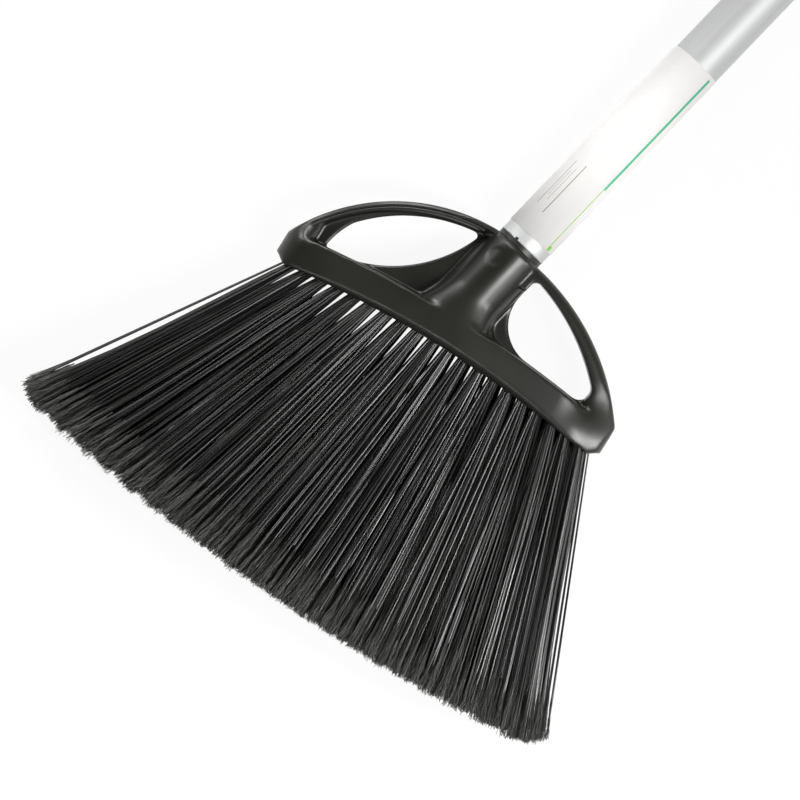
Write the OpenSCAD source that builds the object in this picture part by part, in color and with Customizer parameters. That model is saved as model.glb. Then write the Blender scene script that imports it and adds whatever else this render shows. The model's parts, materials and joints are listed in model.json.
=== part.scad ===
// Lobby broom with a flared angle head and a screw-in handle, lying on its back.
// X runs across the head, Y up the handle, Z out of the front of the head. Millimetres.

/* [Handle tube] */
// Outside diameter of the aluminium tube
tube_d = 25.4; // [22:0.1:30]
// Wall of the tube
tube_wall = 1.2; // [0.8:0.1:2]
// Length of the tube
tube_l = 711; // [500:1:1300]
// Width of the key notch in the tube's lower end
notch_w = 1.8; // [1.2:0.1:4]
// Height of the key notch
notch_h = 1.2; // [0.8:0.1:3]
// Turn of the key notch from the front of the handle, in degrees
notch_turn = -19; // [-80:1:80]

/* [Label sleeve] */
// Length of the card sleeve round the tube
label_l = 114; // [60:1:160]
// Height of the sleeve above the tube's lower end
label_start = 6; // [4:0.5:40]
// Thickness of the card
label_t = 0.3; // [0.2:0.05:0.6]

/* [Threaded tip] */
// Height of the flange that the tube stands on
flange_h = 2.4; // [1.5:0.1:5]
// Length of the plug inside the tube
plug_l = 34; // [20:1:60]
// Wall of the hollow plug
plug_wall = 3; // [2:0.1:4]
// Diameter over the shank's thread
shank_d = 19; // [16:0.1:20.5]
// Length of the shank
shank_l = 28; // [20:0.5:33]

/* [Hang cap] */
// Length of the cap's plug inside the tube
cap_plug_l = 22; // [12:1:40]
// Height of the cap's rim
cap_rim_h = 4; // [2:0.5:8]
// Width of the flat tongue
tongue_w = 18; // [14:0.5:22]
// Thickness of the tongue
tongue_t = 7; // [4:0.5:10]
// Length of the tongue from the rim to the middle of the hole
tongue_l = 16; // [12:0.5:30]
// Diameter of the hanging hole
hang_hole_d = 8; // [5:0.5:10]

/* [Tuft bar] */
// Length of the bar
bar_l = 183.2; // [160:0.1:220]
// Height of the bar, from its tuft face to its upper edge
bar_h = 16; // [14:0.5:20]
// Thickness of the bar at its middle
bar_t = 34; // [32:0.5:38]
// Thickness that the bar loses towards each end
bar_taper = 6; // [2:0.5:8]
// Rise of the bar's arch over its length
bar_arch = 7.7; // [4:0.1:12]
// Slant of the bar to the square of the handle, in degrees
bar_slant_angle = 11.65; // [8:0.05:15]
// Distance from the tube's end down to the middle of the bar's chord
bar_drop = 69.3; // [65:0.1:80]
// Sideways shift of the bar's middle from the handle's axis
bar_shift = 7.2; // [0:0.1:10]
// Height of the bevel along the bar's lower edges
bevel_h = 3; // [1:0.1:3.5]
// Depth of that bevel into the bar's faces
bevel_depth = 3.5; // [1:0.1:4]
// Edge break along the bar's upper edges
bar_up_break = 0.8; // [0.4:0.1:1.5]
// Rounding of the bar's ends, seen from below
bar_end_r = 13; // [8:0.5:13.5]
// Rounding of the bar's lower corners, seen from the front
bar_corner_r = 4; // [2:0.5:6]
// Height of the bar's left end
left_end_h = 15.5; // [12:0.1:18]
// Height of the bar's right end
right_end_h = 18.5; // [15:0.1:22]
// Length of the solid left end, beside the pocket
left_end_l = 8; // [7:0.5:14]
// Length of the solid right end, beside the window
right_end_l = 12; // [8:0.5:16]
// Slope of the solid ends' inner faces, from the middle of the web out to the bar's face
end_draft = 5; // [1:0.5:8]
// Depth of the solid ends' upper edge below the bows' front edge
end_sink = 1.5; // [1:0.1:3]

/* [Socket] */
// Outside diameter of the socket
socket_d = 31; // [29:0.1:34]
// Rounding of the socket's shoulder at its mouth
shoulder_r = 2.5; // [1:0.1:3]
// Radius of the flare where the socket runs into the bar
flare_r = 10.5; // [6:0.5:13]
// Step from the bar's faces back to the flats that cut the flare
flare_step = 1.2; // [0.9:0.1:2]
// Depth of the socket's bore past the shank's end
bore_spare = 2; // [1:0.5:4]
// Diameter of the moulded round mark on the socket
mark_d = 9.5; // [6:0.5:11]
// Depth of that mark
mark_depth = 0.3; // [0.2:0.05:0.6]
// Distance of the mark's middle below the socket's mouth
mark_drop = 10; // [8:0.5:16]
// Turn of the mark from the front of the socket, in degrees
mark_turn = -21; // [-40:1:40]

/* [Bow and web] */
// Rise of the left bow's arc over its chord
left_bow_rise = 14.3; // [12:0.1:20]
// Rise of the right bow's arc over its chord
right_bow_rise = 8.3; // [5:0.1:12]
// Depth of the bows, from their front edge to their back edge
bow_depth = 20; // [18:0.5:24]
// Width of the left bow's rim at its front edge
rim_w = 2.6; // [2:0.1:3.5]
// Width that the left bow's rim gains down to the web
rim_draft = 2; // [1:0.1:2.5]
// Width of the right bow at its middle
right_bow_w = 6.6; // [4.4:0.1:9]
// Reach of the right bow's thick part into the corners of the window
right_bow_reach = 13; // [10:0.5:16]
// Rounding of the bows' front and back edges
bow_edge_r = 1.1; // [0.6:0.1:1.2]
// Rounding of the right bow's outer edges
right_bow_edge_r = 4.2; // [1:0.1:5]
// Thickness of the web
web_t = 3; // [2:0.1:5]
// Inset of the web and of the solid ends from the bows' outer edges
body_inset = 1.3; // [1.2:0.1:1.8]
// Depth of the shoulders beside the socket, front to back
shoulder_depth = 9; // [6:0.5:14]
// Width of each shoulder beside the socket
shoulder_w = 0.3; // [0.3:0.1:2]
// Fillet between the shoulders and the bar
pocket_fillet_r = 8; // [5:0.5:11]

/* [Windows] */
// Width of the left window across its middle
left_window_w = 24; // [18:0.1:28]
// Lip of web between the left bow's rim and the window
left_lip_w = 2.2; // [1.5:0.1:4]
// Shift of the left window along the bow, towards the socket
left_window_shift = 4.2; // [0:0.1:6]
// Radius of the left window's upper edge
left_up_r = 81.5; // [75:0.5:95]
// Radius of the left window's lower edge
left_low_r = 68; // [55:0.5:80]
// Direction from the bow's centre to the middle of the left window, in degrees
left_window_turn = 134; // [128:0.5:136]
// Rounding of the left window's outer end
left_outer_r = 5.5; // [3:0.1:7]
// Rounding of the left window's inner end
left_inner_r = 2; // [1:0.1:3]
// Lip of web between the socket's shoulder and the right window
socket_lip_w = 0.5; // [0.5:0.1:3]
// Lip of web between the bar and the right window
right_lip_w = 0.8; // [0.5:0.1:2]
// Fillet of the right window beside the socket
right_socket_r = 21; // [14:0.5:24]
// Shift of the right window along the bow, towards the socket
right_window_shift = 6.2; // [3:0.1:7]
// Rounding of the right window's outer end
right_outer_r = 5.6; // [3:0.1:7]
// Rounding of the right window's top
right_top_r = 3; // [2:0.1:5]

/* [Tufts] */
// Number of tuft columns along the bar
columns = 20; // [12:1:20]
// Number of tuft rows across the bar
rows = 3; // [2:1:3]
// Distance between rows
row_pitch = 8.6; // [7:0.1:9]
// Distance from the bar's end to the middle of its first tuft
tuft_margin = 8.6; // [7:0.1:12]
// Diameter of a tuft hole
hole_d = 5.4; // [4.5:0.1:6]
// Depth of a tuft hole
hole_depth = 9; // [6:0.5:10]
// Splay of the leftmost tufts from the bar's square, in degrees
left_splay_angle = 31.4; // [20:0.1:38]
// Splay of the rightmost tufts from the bar's square, in degrees
right_splay_angle = 21.7; // [15:0.1:35]
// Length of the leftmost filaments
left_len = 139; // [100:1:180]
// Length of the middle filaments
middle_len = 146; // [100:1:190]
// Length of the rightmost filaments
right_len = 144; // [100:1:180]
// Diameter of one drawn strand
strand_d = 1.5; // [1:0.1:1.5]
// Distance of a tuft's outer strands from its middle
strand_ring = 1.65; // [1.6:0.05:1.8]
// Unevenness of the trimmed ends
ragged = 2; // [0:0.1:4]
// Thickness of the anchor wire
anchor_t = 0.5; // [0.3:0.05:0.8]
// Height of the anchor wire
anchor_h = 2.2; // [1.5:0.1:3]

/* [Hidden] */
// Clearances: turning fit, pushed-in fit, and faces that seat
running_gap = 0.05;
push_gap = 0.05;
seat_gap = 0.1;
// Every cut runs past its face by this much
overrun = 1;
// Small edge breaks on turned pieces
edge_break = 0.8;
// How far a strand starts inside its tuft's root
strand_embed = 2;
// Sides of a tuft's root and of a strand
root_sides = 8;
strand_sides = 3;
// Strands round the middle one of a tuft
ring_strands = 6;
// Growth of each row's span over the row in front of it, and the place along the bar, from -1 to 1, where
// all rows line up
row_fan_share = 0.016;
row_line_share = -0.5;
// Growth from the root to the tip: strand spacing in a tuft, and row spacing
tuft_spread_share = 3.8;
row_spread_share = 1.6;
// Reach of the pieces that fill an outline's sharp corners, as a share of the corner's distance
filler_reach_share = 1.6;
// Where the bows' rims start inside the socket, as a share of the mouth's radius
bow_start_share = 0.8;
// Turn from one strand's trim to the next, in degrees, so that ends look uneven
ragged_turn = 137.5;
// Where the thickness of the bar's rounded ends is taken, in roundings from the end
end_start_share = 1.3;
// Facets of a full turn: of most rounds, of the long arcs, and of small edge roundings
$fn = 96;
arc_fn = 720;
edge_fn = 32;

tube_r = tube_d / 2;
tube_bore_r = tube_r - tube_wall;
socket_r = socket_d / 2;
bore_r = shank_d / 2 + running_gap;
mouth_y = -flange_h - seat_gap;
bore_end_y = mouth_y - shank_l - bore_spare;
mouth_left = [-tube_r, mouth_y];
mouth_right = [tube_r, mouth_y];
socket_left_x = -socket_r - shoulder_w;
socket_right_x = socket_r + shoulder_w;

// The bar's own frame: its origin is the middle of the chord, x along the chord
function on_bar(p) = [
    bar_shift + p.x * cos(bar_slant_angle) - p.y * sin(bar_slant_angle),
    -bar_drop + p.x * sin(bar_slant_angle) + p.y * cos(bar_slant_angle)
];
function arc_radius(chord, rise) = (chord * chord / 4 + rise * rise) / (2 * rise);
bar_r = arc_radius(bar_l, bar_arch);
bar_top_r = bar_r + bar_h;
bar_centre = on_bar([0, bar_arch - bar_r]);
bar_half_turn = asin(bar_l / 2 / bar_r);

// Centre of an arc from p to q that rises to the side given by turn, 1 left or -1 right
function arc_centre(p, q, rise, turn) =
    let (chord = norm(q - p), along = (q - p) / chord, out = turn * [-along.y, along.x])
    (p + q) / 2 + out * (rise - arc_radius(chord, rise));
left_top = on_bar([-bar_l / 2, left_end_h]);
right_top = on_bar([bar_l / 2, right_end_h]);
left_bow_r = arc_radius(norm(left_top - mouth_left), left_bow_rise);
right_bow_r = arc_radius(norm(right_top - mouth_right), right_bow_rise);
left_bow_centre = arc_centre(mouth_left, left_top, left_bow_rise, -1);
right_bow_centre = arc_centre(mouth_right, right_top, right_bow_rise, 1);

// Point where two circles meet, on the left (1) or right (-1) of the line from a to b
function circles_meet(a, ra, b, rb, side) =
    let (
        d = norm(b - a),
        along = (b - a) / d,
        x = (d * d + ra * ra - rb * rb) / (2 * d),
        y = sqrt(ra * ra - x * x)
    )
    a + along * x + side * y * [-along.y, along.x];
// Point of a circle's upper half at a given x, and the point of a circle nearest to p
function above(c, r, x) = [x, c.y + sqrt(r * r - (x - c.x) * (x - c.x))];
function nearest(c, r, p) = c + (p - c) * r / norm(p - c);
function heading(c, p) = atan2(p.y - c.y, p.x - c.x);

// Left window: a lens between the bow and a lower arc
left_reach = left_bow_r - rim_w - rim_draft - left_lip_w;
left_out = [cos(left_window_turn), sin(left_window_turn)];
left_up_centre = left_bow_centre
    + (left_reach - left_up_r) * left_out
    + left_window_shift * [left_out.y, -left_out.x];
left_low_centre = left_bow_centre + (left_reach + left_low_r - left_window_w) * left_out;
// Right window: between the socket, the bar and an arc inside the bow
right_window_r = right_bow_r - right_bow_w;
right_window_centre = right_bow_centre
    + right_window_shift * (mouth_right - right_top) / norm(mouth_right - right_top);
right_low_r = bar_top_r + right_lip_w;

// Tuft roots and filaments, by the place u of a tuft along the bar, from about -1 to 1
root_half_turn = asin((bar_l / 2 - tuft_margin) / bar_r);
function place(c, r) =
    let (u = 2 * (c - 1) / (columns - 1) - 1)
    u + row_fan_share * ((rows + 1) / 2 - r) * (u - row_line_share);
function root_at(u) = [
    bar_r * sin(u * root_half_turn),
    bar_arch - bar_r + bar_r * cos(u * root_half_turn)
];
function splay(u) =
    (right_splay_angle - left_splay_angle) / 2 + u * (right_splay_angle + left_splay_angle) / 2;
function filament_len(u) =
    left_len * u * (u - 1) / 2 + middle_len * (1 - u * u) + right_len * u * (u + 1) / 2;
function row_z(r) = (r - (rows + 1) / 2) * row_pitch;
function strand_spot(k) =
    let (turn = 360 * k / ring_strands)
    k == 0 ? [0, 0] : strand_ring * [cos(turn), sin(turn)];
function trim(c, r, k) = -ragged * (1 - sin(((c * rows + r) * (ring_strands + 1) + k) * ragged_turn)) / 2;
function ring_at(spot, s) = [
    for (i = [0 : strand_sides - 1])
        [
            spot.x + strand_d / 2 * cos(360 * i / strand_sides),
            spot.y + strand_d / 2 * sin(360 * i / strand_sides),
            s
        ]
];
// A strand's two end rings, in its tuft's frame: across the bar, front to back, along the filament
function strand_rings(c, r, k) =
    let (spot = strand_spot(k), z = row_z(r), tip = filament_len(place(c, r)) + trim(c, r, k))
    concat(
        ring_at(spot + [0, z], -strand_embed),
        ring_at(tuft_spread_share * spot + [0, row_spread_share * z], tip)
    );
// A point of a tuft's frame, in the head's frame
function from_tuft(u, p) =
    let (
        root = root_at(u),
        a = splay(u),
        flat = on_bar(root + p.x * [cos(a), sin(a)] + p.z * [sin(a), -cos(a)])
    )
    [flat.x, flat.y, p.y];

// The whole broom's box, which sets the origin at the middle of its underside
tips = [
    for (c = [1 : columns], r = [1 : rows], k = [0 : ring_strands])
        for (p = strand_rings(c, r, k))
            from_tuft(place(c, r), p)
];
tip_xs = [for (p = tips) p.x];
tip_zs = [for (p = tips) p.z];
cap_top_y = tube_l + cap_rim_h + tongue_l + tongue_w / 2;
lowest_y = min([for (p = tips) p.y]);
middle = [(min(tip_xs) + max(tip_xs)) / 2, (lowest_y + cap_top_y) / 2, min(min(tip_zs), -bar_t / 2)];

function column_name(c) = str("tuft_column_", c < 10 ? "0" : "", c);

module placed() {
    translate(-middle)
        children();
}

module on_handle(y = 0) {
    translate([0, y, 0])
        rotate([-90, 0, 0])
            children();
}

module in_bar() {
    translate([bar_shift, -bar_drop, 0])
        rotate([0, 0, bar_slant_angle])
            children();
}

module in_tuft(u) {
    in_bar()
        translate(root_at(u))
            rotate([90, 0, splay(u)])
                children();
}

module disc(c, r) {
    translate(c)
        circle(r, $fn = arc_fn);
}

// What is left of a sharp corner outside a rounding of radius r at c, between the two touching points
module corner_filler(c, r, touch_a, corner, touch_b) {
    difference() {
        polygon([for (p = [c, touch_a, corner, touch_b]) c + filler_reach_share * (p - c)]);
        disc(c, r);
    }
}

// Rectangle from x = 0 to w, centred in y, with its own rounding on the near and far corners
module rounded_section(w, h, near_r, far_r) {
    translate([near_r, -h / 2])
        square([w - near_r - far_r, h]);
    translate([0, near_r - h / 2])
        square([near_r, h - 2 * near_r]);
    translate([w - far_r, far_r - h / 2])
        square([far_r, h - 2 * far_r]);
    for (side = [-1, 1]) {
        translate([near_r, side * (h / 2 - near_r)])
            circle(near_r, $fn = edge_fn);
        translate([w - far_r, side * (h / 2 - far_r)])
            circle(far_r, $fn = edge_fn);
    }
}

// The bar seen from below: both long faces bow out, and the ends are rounded
module bar_footprint() {
    face_r = arc_radius(bar_l, bar_taper / 2);
    end_t = bar_t + 2 * (sqrt(pow(face_r, 2) - pow(bar_l / 2 - end_start_share * bar_end_r, 2)) - face_r);
    intersection() {
        bowed_faces(face_r);
        union() {
            translate([-bar_l / 2, 0])
                rounded_section(bar_l, end_t, bar_end_r, bar_end_r);
            translate([bar_end_r - bar_l / 2, -bar_t])
                square([bar_l - 2 * bar_end_r, 2 * bar_t]);
        }
    }
}

module bowed_faces(face_r) {
    intersection() {
        disc([0, bar_t / 2 - face_r], face_r);
        disc([0, face_r - bar_t / 2], face_r);
    }
}

// The room that the bar and the bows keep to: the footprint from below, the rounded corners from the front
module bar_room() {
    intersection() {
        rotate([90, 0, 0])
            linear_extrude(2 * bar_l, center = true)
                bar_footprint();
        linear_extrude(2 * bar_t, center = true)
            translate([0, -overrun])
                rotate(90)
                    rounded_section(bar_l, bar_l + overrun, bar_corner_r, bar_corner_r);
    }
}

// Across the bar: bevels along the tuft face, and small edge breaks along the top
module bar_section() {
    half = bar_t / 2;
    polygon([
        [0, half - bevel_depth], [bevel_h, half], [bar_h - bar_up_break, half], [bar_h, half - bar_up_break],
        [bar_h, bar_up_break - half], [bar_h - bar_up_break, -half], [bevel_h, -half], [0, bevel_depth - half]
    ]);
}

module bar() {
    in_bar()
        intersection() {
            translate([0, bar_arch - bar_r, 0])
                rotate([0, 0, 90 - bar_half_turn])
                    rotate_extrude(angle = 2 * bar_half_turn, $fn = arc_fn)
                        translate([bar_r, 0])
                            bar_section();
            bar_room();
        }
}

// The web's outline above the bar, just inside the bows' outer edges: two arcs that meet at the socket
module outline() {
    difference() {
        intersection() {
            union() {
                intersection() {
                    disc(left_bow_centre, left_bow_r - body_inset);
                    translate([-bar_l, -bar_l])
                        square([bar_l, 2 * bar_l]);
                }
                intersection() {
                    disc(right_bow_centre, right_bow_r - body_inset);
                    translate([0, -bar_l])
                        square([bar_l, 2 * bar_l]);
                }
            }
            in_bar()
                translate([-bar_l / 2, -bar_l / 2])
                    square(bar_l);
        }
        disc(bar_centre, bar_r + bar_h / 2);
    }
}

module left_window() {
    outer = circles_meet(
        left_up_centre, left_up_r - left_outer_r, left_low_centre, left_low_r - left_outer_r, 1);
    inner = circles_meet(
        left_up_centre, left_up_r - left_inner_r, left_low_centre, left_low_r - left_inner_r, -1);
    difference() {
        intersection() {
            disc(left_up_centre, left_up_r);
            disc(left_low_centre, left_low_r);
        }
        corner_filler(
            outer, left_outer_r,
            nearest(left_up_centre, left_up_r, outer),
            circles_meet(left_up_centre, left_up_r, left_low_centre, left_low_r, 1),
            nearest(left_low_centre, left_low_r, outer));
        corner_filler(
            inner, left_inner_r,
            nearest(left_up_centre, left_up_r, inner),
            circles_meet(left_up_centre, left_up_r, left_low_centre, left_low_r, -1),
            nearest(left_low_centre, left_low_r, inner));
    }
}

module right_window() {
    x = socket_right_x + socket_lip_w;
    low = above(bar_centre, right_low_r + right_socket_r, x + right_socket_r);
    top = above(right_window_centre, right_window_r - right_top_r, x + right_top_r);
    outer = circles_meet(
        bar_centre, right_low_r + right_outer_r, right_window_centre, right_window_r - right_outer_r, -1);
    difference() {
        intersection() {
            disc(right_window_centre, right_window_r);
            translate([x, -bar_l])
                square([bar_l, 2 * bar_l]);
        }
        disc(bar_centre, right_low_r);
        corner_filler(
            low, right_socket_r,
            [x, low.y],
            above(bar_centre, right_low_r, x),
            nearest(bar_centre, right_low_r, low));
        corner_filler(
            top, right_top_r,
            [x, top.y],
            above(right_window_centre, right_window_r, x),
            nearest(right_window_centre, right_window_r, top));
        corner_filler(
            outer, right_outer_r,
            nearest(bar_centre, right_low_r, outer),
            circles_meet(bar_centre, right_low_r, right_window_centre, right_window_r, -1),
            nearest(right_window_centre, right_window_r, outer));
    }
}

// The shoulders that run beside the socket and sweep into the bar
module shoulders() {
    left = above(bar_centre, bar_top_r + pocket_fillet_r, socket_left_x - pocket_fillet_r);
    right = above(bar_centre, bar_top_r + pocket_fillet_r, socket_right_x + pocket_fillet_r);
    translate([socket_left_x, -bar_drop])
        square([socket_right_x - socket_left_x, bar_drop]);
    corner_filler(
        left, pocket_fillet_r,
        [socket_left_x, left.y],
        above(bar_centre, bar_top_r, socket_left_x),
        nearest(bar_centre, bar_top_r, left));
    corner_filler(
        right, pocket_fillet_r,
        [socket_right_x, right.y],
        above(bar_centre, bar_top_r, socket_right_x),
        nearest(bar_centre, bar_top_r, right));
}

module left_bow() {
    from = heading(left_bow_centre, [-bow_start_share * tube_r, mouth_y]);
    to = heading(left_bow_centre, on_bar([-bar_l / 2, left_end_h - bar_up_break]));
    translate(left_bow_centre)
        rotate([0, 0, from])
            rotate_extrude(angle = to - from, $fn = arc_fn) {
                translate([left_bow_r - rim_w, 0])
                    rounded_section(rim_w, bow_depth, bow_edge_r, bow_edge_r);
                polygon([
                    [left_bow_r - rim_w, bow_depth / 2 - bow_edge_r],
                    [left_bow_r - rim_w - rim_draft, web_t / 2],
                    [left_bow_r - rim_w - rim_draft, -web_t / 2],
                    [left_bow_r - rim_w, bow_edge_r - bow_depth / 2],
                    [left_bow_r - rim_w / 2, bow_edge_r - bow_depth / 2],
                    [left_bow_r - rim_w / 2, bow_depth / 2 - bow_edge_r]
                ]);
            }
}

module right_bow() {
    from = heading(right_bow_centre, on_bar([bar_l / 2, right_end_h - bar_up_break]));
    to = heading(right_bow_centre, [bow_start_share * tube_r, mouth_y]);
    translate(right_bow_centre)
        rotate([0, 0, from])
            rotate_extrude(angle = to - from, $fn = arc_fn)
                translate([right_bow_r - right_bow_reach, 0])
                    rounded_section(right_bow_reach, bow_depth, bow_edge_r, right_bow_edge_r);
}

// The solid ends seen from below: their inner faces slope out to the middle of the web
module end_plan() {
    half = bar_l / 2;
    polygon([
        [-half, bar_t], [left_end_l - half, bar_t], [left_end_l + end_draft - half, 0],
        [left_end_l - half, -bar_t], [-half, -bar_t]
    ]);
    polygon([
        [half, -bar_t], [half - right_end_l, -bar_t], [half - right_end_l - end_draft, 0],
        [half - right_end_l, bar_t], [half, bar_t]
    ]);
}

// The solid ends, which slope from the bar's face to the bow's edge
module bar_ends() {
    end_t = bar_t - bar_taper;
    low_t = bow_depth - 2 * end_sink;
    top = max(left_end_h, right_end_h) + bar_arch;
    intersection() {
        linear_extrude(bar_t, center = true)
            outline();
        in_bar()
            rotate([90, 0, 0])
                linear_extrude(2 * bar_l, center = true)
                    end_plan();
        in_bar()
            rotate([90, 0, 90])
                linear_extrude(2 * bar_l, center = true)
                    polygon([
                        [0, end_t / 2], [bar_h, end_t / 2], [top, low_t / 2], [bar_l, low_t / 2],
                        [bar_l, -low_t / 2], [top, -low_t / 2], [bar_h, -end_t / 2], [0, -end_t / 2]
                    ]);
    }
}

// The socket is a turned form, cut by flats just inside the bar's two faces
module socket() {
    foot_y = on_bar([0, bar_arch]).y;
    flare_top_y = foot_y + bar_h / 2 + flare_r;
    intersection() {
        on_handle()
            rotate_extrude() {
                translate([0, foot_y + bar_h / 2])
                    square([socket_r, mouth_y - shoulder_r - foot_y - bar_h / 2]);
                translate([0, mouth_y - shoulder_r])
                    square([socket_r - shoulder_r, shoulder_r]);
                translate([socket_r - shoulder_r, mouth_y - shoulder_r])
                    intersection() {
                        circle(shoulder_r);
                        square(shoulder_r);
                    }
                translate([socket_r, foot_y + bar_h / 2])
                    difference() {
                        square(flare_r);
                        translate([flare_r, flare_r])
                            circle(flare_r);
                    }
            }
        translate([-bar_l / 2, -bar_l, flare_step - bar_t / 2])
            cube([bar_l, bar_l, bar_t - 2 * flare_step]);
    }
}

module socket_mark() {
    on_handle()
        intersection() {
            difference() {
                cylinder(r = socket_r + overrun, h = 2 * bar_drop, center = true);
                cylinder(r = socket_r - mark_depth, h = 2 * bar_drop + overrun, center = true);
            }
            rotate([0, 0, mark_turn])
                translate([0, 0, mouth_y - mark_drop])
                    rotate([90, 0, 0])
                        cylinder(d = mark_d, h = socket_d);
        }
}

module tuft_holes() {
    for (c = [1 : columns], r = [1 : rows])
        in_tuft(place(c, r))
            translate([0, row_z(r), -hole_depth])
                cylinder(d = hole_d, h = hole_depth + hole_d, $fn = root_sides);
}

// Bows, solid ends and web in one, before the windows are cut through them
module bows() {
    intersection() {
        union() {
            left_bow();
            right_bow();
            bar_ends();
        }
        in_bar()
            bar_room();
    }
    linear_extrude(web_t, center = true)
        outline();
}

module broom_block() {
    color("#2b2b28")
        placed()
            difference() {
                union() {
                    bar();
                    difference() {
                        bows();
                        linear_extrude(bar_t, center = true) {
                            left_window();
                            right_window();
                        }
                    }
                    socket();
                    linear_extrude(shoulder_depth, center = true)
                        intersection() {
                            outline();
                            shoulders();
                        }
                }
                on_handle(bore_end_y)
                    cylinder(r = bore_r, h = bar_drop);
                on_handle(mouth_y)
                    cylinder(r = socket_d, h = bar_drop);
                tuft_holes();
                socket_mark();
            }
}

// One strand: a slim straight prism of triangles
module strand(c, r, k) {
    n = strand_sides;
    last = n - 1;
    polyhedron(
        points = strand_rings(c, r, k),
        faces = concat(
            [[for (i = [0 : last]) i]],
            [for (i = [0 : last]) [i, n + i, (i + 1) % n]],
            [for (i = [0 : last]) [(i + 1) % n, n + i, n + (i + 1) % n]],
            [[for (i = [0 : last]) n + last - i]]
        )
    );
}

// One tuft: strands fused to their folded root, which straddles the anchor wire
module tuft(c, r) {
    root_l = hole_depth - seat_gap;
    difference() {
        translate([0, row_z(r), -root_l])
            cylinder(d = hole_d - 2 * push_gap, h = root_l, $fn = root_sides);
        translate([0, row_z(r), -hole_depth])
            cube([anchor_t + 2 * push_gap, 2 * hole_d, 2 * (anchor_h + push_gap)], center = true);
    }
    for (k = [0 : ring_strands])
        strand(c, r, k);
}

module tuft_column(c) {
    color("#191917")
        placed()
            for (r = [1 : rows])
                in_tuft(place(c, r))
                    tuft(c, r);
}

module tuft_anchors() {
    across_flats = hole_d * cos(180 / root_sides);
    chord = 2 * sqrt(pow(across_flats / 2, 2) - pow(anchor_t / 2, 2)) - 2 * push_gap;
    color("#b9bcbe")
        placed()
            for (c = [1 : columns], r = [1 : rows])
                in_tuft(place(c, r))
                    translate([-anchor_t / 2, row_z(r) - chord / 2, -hole_depth])
                        cube([anchor_t, chord, anchor_h]);
}

// The key that stops the tube from turning on its tip, and the notch it sits in
module key(gap) {
    rotate([0, 0, notch_turn])
        translate([-notch_w / 2 + gap, -tube_d, 0])
            cube([notch_w - 2 * gap, tube_d, notch_h - gap]);
}

module threaded_tip() {
    plug_r = tube_bore_r - push_gap;
    end_y = mouth_y + seat_gap - shank_l;
    color("#20201e")
        placed()
            on_handle() {
                rotate_extrude()
                    polygon([
                        [0, end_y],
                        [shank_d / 2 - edge_break, end_y],
                        [shank_d / 2, end_y + edge_break],
                        [shank_d / 2, -flange_h],
                        [tube_r, -flange_h],
                        [tube_r, 0],
                        [plug_r, 0],
                        [plug_r, plug_l - edge_break],
                        [plug_r - edge_break, plug_l],
                        [plug_r - plug_wall, plug_l],
                        [plug_r - plug_wall, 0],
                        [0, 0]
                    ]);
                intersection() {
                    key(push_gap);
                    difference() {
                        cylinder(r = tube_r, h = notch_h);
                        cylinder(r = plug_r - plug_wall / 2, h = 2 * notch_h, center = true);
                    }
                }
            }
}

module handle_tube() {
    color("#c3c4c4")
        placed()
            on_handle()
                difference() {
                    cylinder(r = tube_r, h = tube_l);
                    translate([0, 0, -overrun])
                        cylinder(r = tube_bore_r, h = tube_l + 2 * overrun);
                    translate([0, 0, -notch_h])
                        key(0);
                    key(0);
                }
}

module label_sleeve() {
    sleeve_r = tube_r + push_gap;
    color("#f6f5f2")
        placed()
            on_handle(label_start)
                difference() {
                    cylinder(r = sleeve_r + label_t, h = label_l);
                    translate([0, 0, -overrun])
                        cylinder(r = sleeve_r, h = label_l + 2 * overrun);
                }
}

module hang_cap() {
    plug_r = tube_bore_r - push_gap;
    tongue_end = tube_l + cap_rim_h + tongue_l;
    color("#20201e")
        placed() {
            on_handle(tube_l)
                rotate_extrude()
                    polygon([
                        [0, -cap_plug_l],
                        [plug_r - edge_break, -cap_plug_l],
                        [plug_r, edge_break - cap_plug_l],
                        [plug_r, 0],
                        [tube_r, 0],
                        [tube_r, cap_rim_h - edge_break],
                        [tube_r - edge_break, cap_rim_h],
                        [0, cap_rim_h]
                    ]);
            difference() {
                linear_extrude(tongue_t, center = true) {
                    translate([-tongue_w / 2, tube_l])
                        square([tongue_w, cap_rim_h + tongue_l]);
                    translate([0, tongue_end])
                        circle(d = tongue_w);
                }
                translate([0, tongue_end, 0])
                    cylinder(d = hang_hole_d, h = tongue_t + 2 * overrun, center = true);
            }
        }
}

broom_block();
for (c = [1 : columns])
    tuft_column(c);
tuft_anchors();
threaded_tip();
handle_tube();
label_sleeve();
hang_cap();
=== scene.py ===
# %% [markdown]
# # A lobby broom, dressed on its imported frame
# A lobby broom is a light sweeping broom: a moulded plastic head with fanned filaments, screwed onto an
# aluminium tube. The frame brings every solid at its real size. This lesson gives each solid its surface,
# and makes new meshes where a solid is too plain: the softened block, the filaments and the wrapped sleeve.

# %% Load the frame
import json
import math

import bpy
import numpy as np
from mathutils import Matrix, Vector


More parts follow.
